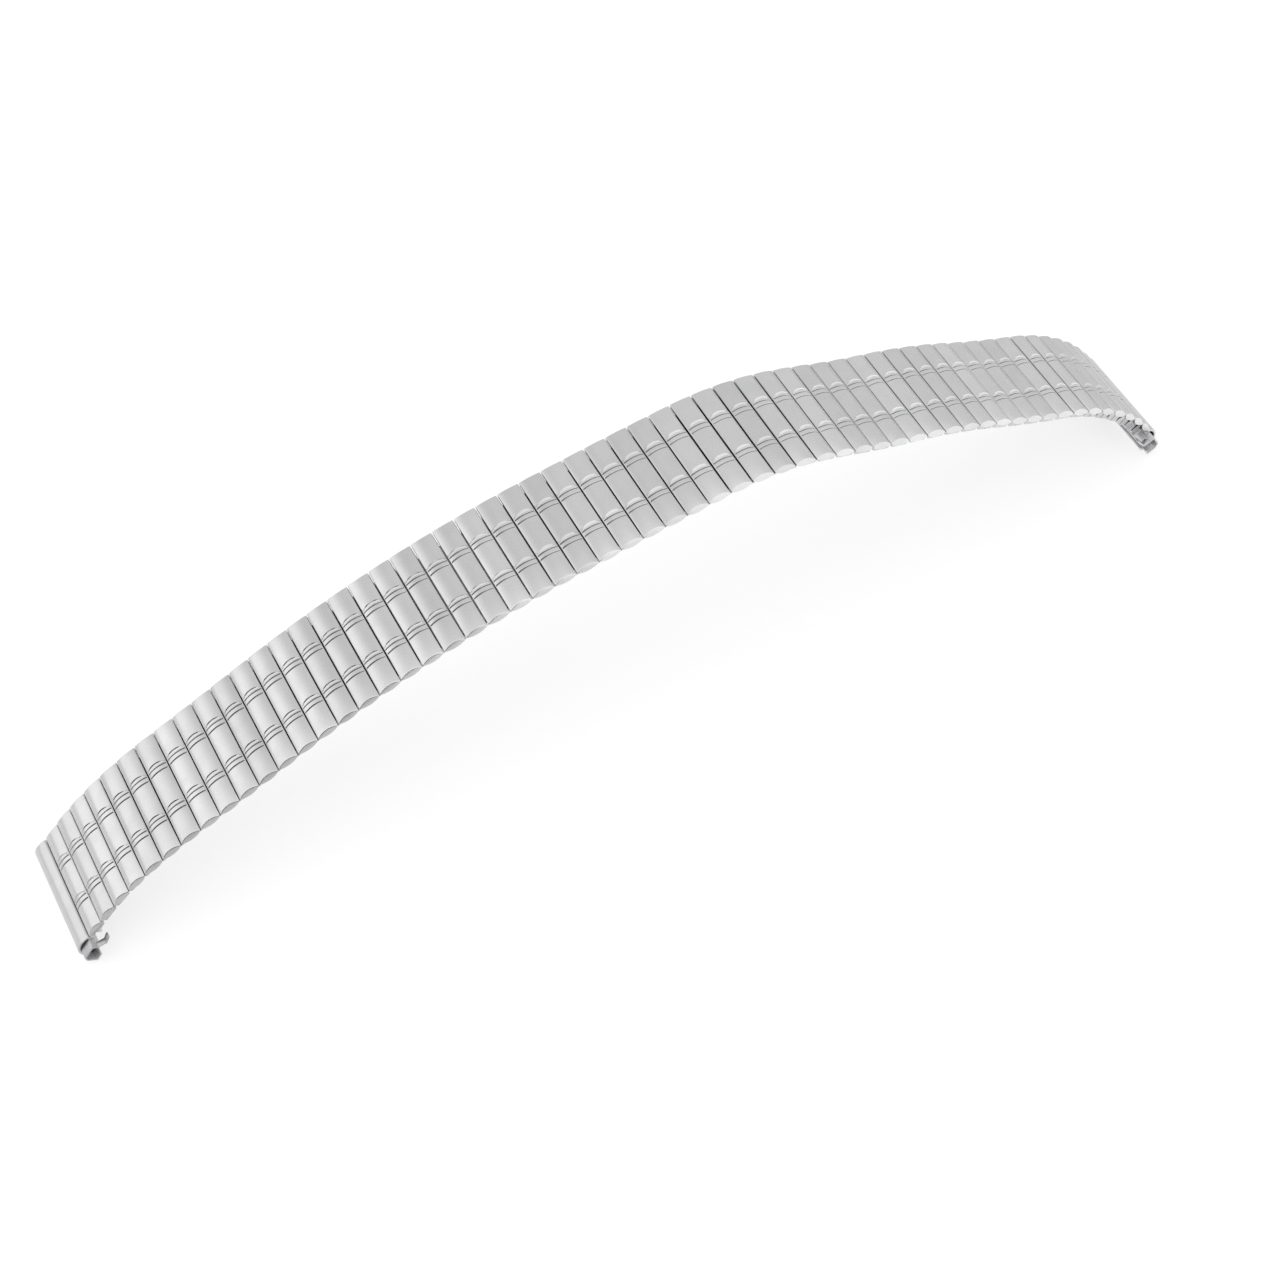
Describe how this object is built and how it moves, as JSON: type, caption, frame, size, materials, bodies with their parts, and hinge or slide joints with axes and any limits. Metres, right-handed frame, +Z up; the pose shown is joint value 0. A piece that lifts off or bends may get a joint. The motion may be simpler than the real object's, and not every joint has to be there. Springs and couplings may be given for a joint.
{
  "type": "watch bracelet",
  "caption": "Metal expansion watch bracelet: arched covers over staggered rows of spring-loaded sleeves joined by staples, with end caps and telescoping inserts.",
  "frame": {"origin": "middle of the footprint of the band as it stands on its two end caps", "axes": "+X along the band from the left cap to the right one, +Y across the band towards the back edge, +Z up"},
  "size_m": [0.1718, 0.0173, 0.039],
  "materials": {
    "cover_steel": "satin, with bright side faces",
    "cap_steel": "satin",
    "insert_steel": "plain sheet"
  },
  "bodies": {
    "cap_left": {"cap_left": "cap_steel"},
    "cap_right": {"cap_right": "cap_steel"},
    "insert_left_front": {"insert_left_front": "insert_steel"},
    "insert_left_back": {"insert_left_back": "insert_steel"},
    "insert_right_front": {"insert_right_front": "insert_steel"},
    "insert_right_back": {"insert_right_back": "insert_steel"},
    "link_01": {"link_01": "cover_steel"},
    "link_02": {"link_02": "cover_steel"},
    "link_03": {"link_03": "cover_steel"},
    "link_04": {"link_04": "cover_steel"},
    "link_05": {"link_05": "cover_steel"},
    "link_06": {"link_06": "cover_steel"},
    "link_07": {"link_07": "cover_steel"},
    "link_08": {"link_08": "cover_steel"},
    "links_09_10": {"links_09_10": "cover_steel"},
    "link_11": {"link_11": "cover_steel"},
    "link_12": {"link_12": "cover_steel"},
    "link_13": {"link_13": "cover_steel"},
    "link_14": {"link_14": "cover_steel"},
    "link_15": {"link_15": "cover_steel"},
    "link_16": {"link_16": "cover_steel"},
    "link_17": {"link_17": "cover_steel"},
    "link_18": {"link_18": "cover_steel"},
    "link_19": {"link_19": "cover_steel"},
    "link_20": {"link_20": "cover_steel"},
    "link_21": {"link_21": "cover_steel"},
    "link_22": {"link_22": "cover_steel"},
    "link_23": {"link_23": "cover_steel"},
    "link_24": {"link_24": "cover_steel"},
    "link_25": {"link_25": "cover_steel"},
    "link_26": {"link_26": "cover_steel"},
    "link_27": {"link_27": "cover_steel"},
    "links_28_29": {"links_28_29": "cover_steel"},
    "link_30": {"link_30": "cover_steel"},
    "link_31": {"link_31": "cover_steel"},
    "link_32": {"link_32": "cover_steel"},
    "link_33": {"link_33": "cover_steel"},
    "link_34": {"link_34": "cover_steel"},
    "link_35": {"link_35": "cover_steel"},
    "link_36": {"link_36": "cover_steel"},
    "link_37": {"link_37": "cover_steel"},
    "link_38": {"link_38": "cover_steel"},
    "link_39": {"link_39": "cover_steel"},
    "link_40": {"link_40": "cover_steel"},
    "links_41_42": {"links_41_42": "cover_steel"},
    "link_43": {"link_43": "cover_steel"},
    "link_44": {"link_44": "cover_steel"},
    "link_45": {"link_45": "cover_steel"},
    "link_46": {"link_46": "cover_steel"},
    "link_47": {"link_47": "cover_steel"},
    "links_48_49": {"links_48_49": "cover_steel"},
    "link_50": {"link_50": "cover_steel"},
    "link_51": {"link_51": "cover_steel"},
    "link_52": {"link_52": "cover_steel"},
    "link_53": {"link_53": "cover_steel"},
    "link_54": {"link_54": "cover_steel"},
    "link_55": {"link_55": "cover_steel"},
    "link_56": {"link_56": "cover_steel"},
    "link_57": {"link_57": "cover_steel"},
    "link_58": {"link_58": "cover_steel"}
  },
  "joints": [
    {"name": "hinge_cap_left_01", "type": "hinge", "parent": "link_01", "child": "cap_left", "pos_m": [-0.08287, 0.00065, 0.00499], "axis": [0, -1, 0], "range_deg": [-6.7, 1.4]},
    {"name": "hinge_01_02", "type": "hinge", "parent": "link_02", "child": "link_01", "pos_m": [-0.08072, 0.00065, 0.00732], "axis": [0, -1, 0], "range_deg": [-6.7, 1.4]},
    {"name": "hinge_02_03", "type": "hinge", "parent": "link_03", "child": "link_02", "pos_m": [-0.0784, 0.00065, 0.00949], "axis": [0, -1, 0], "range_deg": [-6.7, 1.4]},
    {"name": "hinge_03_04", "type": "hinge", "parent": "link_04", "child": "link_03", "pos_m": [-0.07593, 0.00065, 0.01149], "axis": [0, -1, 0], "range_deg": [-6.7, 1.4]},
    {"name": "hinge_04_05", "type": "hinge", "parent": "link_05", "child": "link_04", "pos_m": [-0.07332, 0.00065, 0.0133], "axis": [0, -1, 0], "range_deg": [-6.7, 1.4]},
    {"name": "hinge_05_06", "type": "hinge", "parent": "link_06", "child": "link_05", "pos_m": [-0.07059, 0.00065, 0.01491], "axis": [0, -1, 0], "range_deg": [-5.7, 2.4]},
    {"name": "hinge_06_07", "type": "hinge", "parent": "link_07", "child": "link_06", "pos_m": [-0.06777, 0.00065, 0.01637], "axis": [0, -1, 0], "range_deg": [-5.7, 2.4]},
    {"name": "hinge_07_08", "type": "hinge", "parent": "link_08", "child": "link_07", "pos_m": [-0.06487, 0.00065, 0.01767], "axis": [0, -1, 0], "range_deg": [-2.2, 5.9]},
    {"name": "hinge_08_09_10", "type": "hinge", "parent": "links_09_10", "child": "link_08", "pos_m": [-0.06198, 0.00065, 0.01898], "axis": [0, -1, 0], "range_deg": [-2.2, 5.9]},
    {"name": "hinge_09_10_11", "type": "hinge", "parent": "link_11", "child": "links_09_10", "pos_m": [-0.05622, 0.00065, 0.02166], "axis": [0, -1, 0], "range_deg": [-2.2, 5.9]},
    {"name": "hinge_11_12", "type": "hinge", "parent": "link_12", "child": "link_11", "pos_m": [-0.05335, 0.00065, 0.02302], "axis": [0, -1, 0], "range_deg": [-2.2, 5.9]},
    {"name": "hinge_12_13", "type": "hinge", "parent": "link_13", "child": "link_12", "pos_m": [-0.05049, 0.00065, 0.02439], "axis": [0, -1, 0], "range_deg": [-3.9, 4.2]},
    {"name": "hinge_13_14", "type": "hinge", "parent": "link_14", "child": "link_13", "pos_m": [-0.04759, 0.00065, 0.02569], "axis": [0, -1, 0], "range_deg": [-3.9, 4.2]},
    {"name": "hinge_14_15", "type": "hinge", "parent": "link_15", "child": "link_14", "pos_m": [-0.04467, 0.00065, 0.02693], "axis": [0, -1, 0], "range_deg": [-3.9, 4.2]},
    {"name": "hinge_15_16", "type": "hinge", "parent": "link_16", "child": "link_15", "pos_m": [-0.04171, 0.00065, 0.02809], "axis": [0, -1, 0], "range_deg": [-3.9, 4.2]},
    {"name": "hinge_16_17", "type": "hinge", "parent": "link_17", "child": "link_16", "pos_m": [-0.03873, 0.00065, 0.02918], "axis": [0, -1, 0], "range_deg": [-3.9, 4.2]},
    {"name": "hinge_17_18", "type": "hinge", "parent": "link_18", "child": "link_17", "pos_m": [-0.03572, 0.00065, 0.03019], "axis": [0, -1, 0], "range_deg": [-3.9, 4.2]},
    {"name": "hinge_18_19", "type": "hinge", "parent": "link_19", "child": "link_18", "pos_m": [-0.03269, 0.00065, 0.03113], "axis": [0, -1, 0], "range_deg": [-3.9, 4.2]},
    {"name": "hinge_19_20", "type": "hinge", "parent": "link_20", "child": "link_19", "pos_m": [-0.02964, 0.00065, 0.032], "axis": [0, -1, 0], "range_deg": [-3.9, 4.2]},
    {"name": "hinge_20_21", "type": "hinge", "parent": "link_21", "child": "link_20", "pos_m": [-0.02656, 0.00065, 0.03279], "axis": [0, -1, 0], "range_deg": [-3.9, 4.2]},
    {"name": "hinge_21_22", "type": "hinge", "parent": "link_22", "child": "link_21", "pos_m": [-0.02347, 0.00065, 0.03351], "axis": [0, -1, 0], "range_deg": [-3.9, 4.2]},
    {"name": "hinge_22_23", "type": "hinge", "parent": "link_23", "child": "link_22", "pos_m": [-0.02036, 0.00065, 0.03415], "axis": [0, -1, 0], "range_deg": [-3.9, 4.2]},
    {"name": "hinge_23_24", "type": "hinge", "parent": "link_24", "child": "link_23", "pos_m": [-0.01723, 0.00065, 0.03471], "axis": [0, -1, 0], "range_deg": [-3.9, 4.2]},
    {"name": "hinge_24_25", "type": "hinge", "parent": "link_25", "child": "link_24", "pos_m": [-0.0141, 0.00065, 0.0352], "axis": [0, -1, 0], "range_deg": [-3.9, 4.2]},
    {"name": "hinge_25_26", "type": "hinge", "parent": "link_26", "child": "link_25", "pos_m": [-0.01095, 0.00065, 0.03561], "axis": [0, -1, 0], "range_deg": [-2.9, 5.2]},
    {"name": "hinge_26_27", "type": "hinge", "parent": "link_27", "child": "link_26", "pos_m": [-0.0078, 0.00065, 0.036], "axis": [0, -1, 0], "range_deg": [-2.9, 5.2]},
    {"name": "hinge_27_28_29", "type": "hinge", "parent": "links_28_29", "child": "link_27", "pos_m": [-0.00464, 0.00065, 0.03637], "axis": [0, -1, 0], "range_deg": [-2.9, 5.2]},
    {"name": "hinge_28_29_30", "type": "hinge", "parent": "links_28_29", "child": "link_30", "pos_m": [0.00167, 0.00065, 0.03704], "axis": [0, 1, 0], "range_deg": [-2.9, 5.2]},
    {"name": "hinge_30_31", "type": "hinge", "parent": "link_30", "child": "link_31", "pos_m": [0.00483, 0.00065, 0.03734], "axis": [0, 1, 0], "range_deg": [-2.9, 5.2]},
    {"name": "hinge_31_32", "type": "hinge", "parent": "link_31", "child": "link_32", "pos_m": [0.00799, 0.00065, 0.03762], "axis": [0, 1, 0], "range_deg": [-2.9, 5.2]},
    {"name": "hinge_32_33", "type": "hinge", "parent": "link_32", "child": "link_33", "pos_m": [0.01116, 0.00065, 0.03788], "axis": [0, 1, 0], "range_deg": [-7.2, 0.9]},
    {"name": "hinge_33_34", "type": "hinge", "parent": "link_33", "child": "link_34", "pos_m": [0.01433, 0.00065, 0.03788], "axis": [0, 1, 0], "range_deg": [-7.2, 0.9]},
    {"name": "hinge_34_35", "type": "hinge", "parent": "link_34", "child": "link_35", "pos_m": [0.0175, 0.00065, 0.03761], "axis": [0, 1, 0], "range_deg": [-7.2, 0.9]},
    {"name": "hinge_35_36", "type": "hinge", "parent": "link_35", "child": "link_36", "pos_m": [0.02063, 0.00065, 0.03709], "axis": [0, 1, 0], "range_deg": [-7.2, 0.9]},
    {"name": "hinge_36_37", "type": "hinge", "parent": "link_36", "child": "link_37", "pos_m": [0.02371, 0.00065, 0.03631], "axis": [0, 1, 0], "range_deg": [-7.2, 0.9]},
    {"name": "hinge_37_38", "type": "hinge", "parent": "link_37", "child": "link_38", "pos_m": [0.02671, 0.00065, 0.03529], "axis": [0, 1, 0], "range_deg": [-4.2, 3.9]},
    {"name": "hinge_38_39", "type": "hinge", "parent": "link_38", "child": "link_39", "pos_m": [0.02969, 0.00065, 0.03417], "axis": [0, 1, 0], "range_deg": [-4.2, 3.9]},
    {"name": "hinge_39_40", "type": "hinge", "parent": "link_39", "child": "link_40", "pos_m": [0.03262, 0.00065, 0.03297], "axis": [0, 1, 0], "range_deg": [-0.8, 7.3]},
    {"name": "hinge_40_41_42", "type": "hinge", "parent": "link_40", "child": "links_41_42", "pos_m": [0.0356, 0.00065, 0.03186], "axis": [0, 1, 0], "range_deg": [-0.8, 7.3]},
    {"name": "hinge_41_42_43", "type": "hinge", "parent": "links_41_42", "child": "link_43", "pos_m": [0.04164, 0.00065, 0.02989], "axis": [0, 1, 0], "range_deg": [-4.5, 3.6]},
    {"name": "hinge_43_44", "type": "hinge", "parent": "link_43", "child": "link_44", "pos_m": [0.04464, 0.00065, 0.02885], "axis": [0, 1, 0], "range_deg": [-4.5, 3.6]},
    {"name": "hinge_44_45", "type": "hinge", "parent": "link_44", "child": "link_45", "pos_m": [0.0476, 0.00065, 0.02771], "axis": [0, 1, 0], "range_deg": [-4.5, 3.6]},
    {"name": "hinge_45_46", "type": "hinge", "parent": "link_45", "child": "link_46", "pos_m": [0.05052, 0.00065, 0.02646], "axis": [0, 1, 0], "range_deg": [-4.5, 3.6]},
    {"name": "hinge_46_47", "type": "hinge", "parent": "link_46", "child": "link_47", "pos_m": [0.05339, 0.00065, 0.02511], "axis": [0, 1, 0], "range_deg": [-4.5, 3.6]},
    {"name": "hinge_47_48_49", "type": "hinge", "parent": "link_47", "child": "links_48_49", "pos_m": [0.05621, 0.00065, 0.02366], "axis": [0, 1, 0], "range_deg": [-1.3, 6.8]},
    {"name": "hinge_48_49_50", "type": "hinge", "parent": "links_48_49", "child": "link_50", "pos_m": [0.06195, 0.00065, 0.02094], "axis": [0, 1, 0], "range_deg": [-1.3, 6.8]},
    {"name": "hinge_50_51", "type": "hinge", "parent": "link_50", "child": "link_51", "pos_m": [0.06486, 0.00065, 0.01967], "axis": [0, 1, 0], "range_deg": [-1.3, 6.8]},
    {"name": "hinge_51_52", "type": "hinge", "parent": "link_51", "child": "link_52", "pos_m": [0.0678, 0.00065, 0.01847], "axis": [0, 1, 0], "range_deg": [-7.4, 0.7]},
    {"name": "hinge_52_53", "type": "hinge", "parent": "link_52", "child": "link_53", "pos_m": [0.07062, 0.00065, 0.01701], "axis": [0, 1, 0], "range_deg": [-7.4, 0.7]},
    {"name": "hinge_53_54", "type": "hinge", "parent": "link_53", "child": "link_54", "pos_m": [0.07331, 0.00065, 0.01532], "axis": [0, 1, 0], "range_deg": [-7.4, 0.7]},
    {"name": "hinge_54_55", "type": "hinge", "parent": "link_54", "child": "link_55", "pos_m": [0.07584, 0.00065, 0.01341], "axis": [0, 1, 0], "range_deg": [-7.4, 0.7]},
    {"name": "hinge_55_56", "type": "hinge", "parent": "link_55", "child": "link_56", "pos_m": [0.07821, 0.00065, 0.01129], "axis": [0, 1, 0], "range_deg": [-7.4, 0.7]},
    {"name": "hinge_56_57", "type": "hinge", "parent": "link_56", "child": "link_57", "pos_m": [0.08038, 0.00065, 0.00897], "axis": [0, 1, 0], "range_deg": [-7.4, 0.7]},
    {"name": "hinge_57_58", "type": "hinge", "parent": "link_57", "child": "link_58", "pos_m": [0.08234, 0.00065, 0.00648], "axis": [0, 1, 0], "range_deg": [-7.4, 0.7]},
    {"name": "hinge_58_cap_right", "type": "hinge", "parent": "link_58", "child": "cap_right", "pos_m": [0.08321, 0.00065, 0.00515], "axis": [0, 1, 0], "range_deg": [-4.8, 3.3]},
    {"name": "slide_left_front", "type": "slide", "parent": "cap_left", "child": "insert_left_front", "axis": [0, -1, 0], "range_m": [-0.0013, 0.0017]},
    {"name": "slide_left_back", "type": "slide", "parent": "cap_left", "child": "insert_left_back", "axis": [0, 1, 0], "range_m": [0, 0.003]},
    {"name": "slide_right_front", "type": "slide", "parent": "cap_right", "child": "insert_right_front", "axis": [0, -1, 0], "range_m": [-0.0013, 0.0017]},
    {"name": "slide_right_back", "type": "slide", "parent": "cap_right", "child": "insert_right_back", "axis": [0, 1, 0], "range_m": [0, 0.003]}
  ]
}
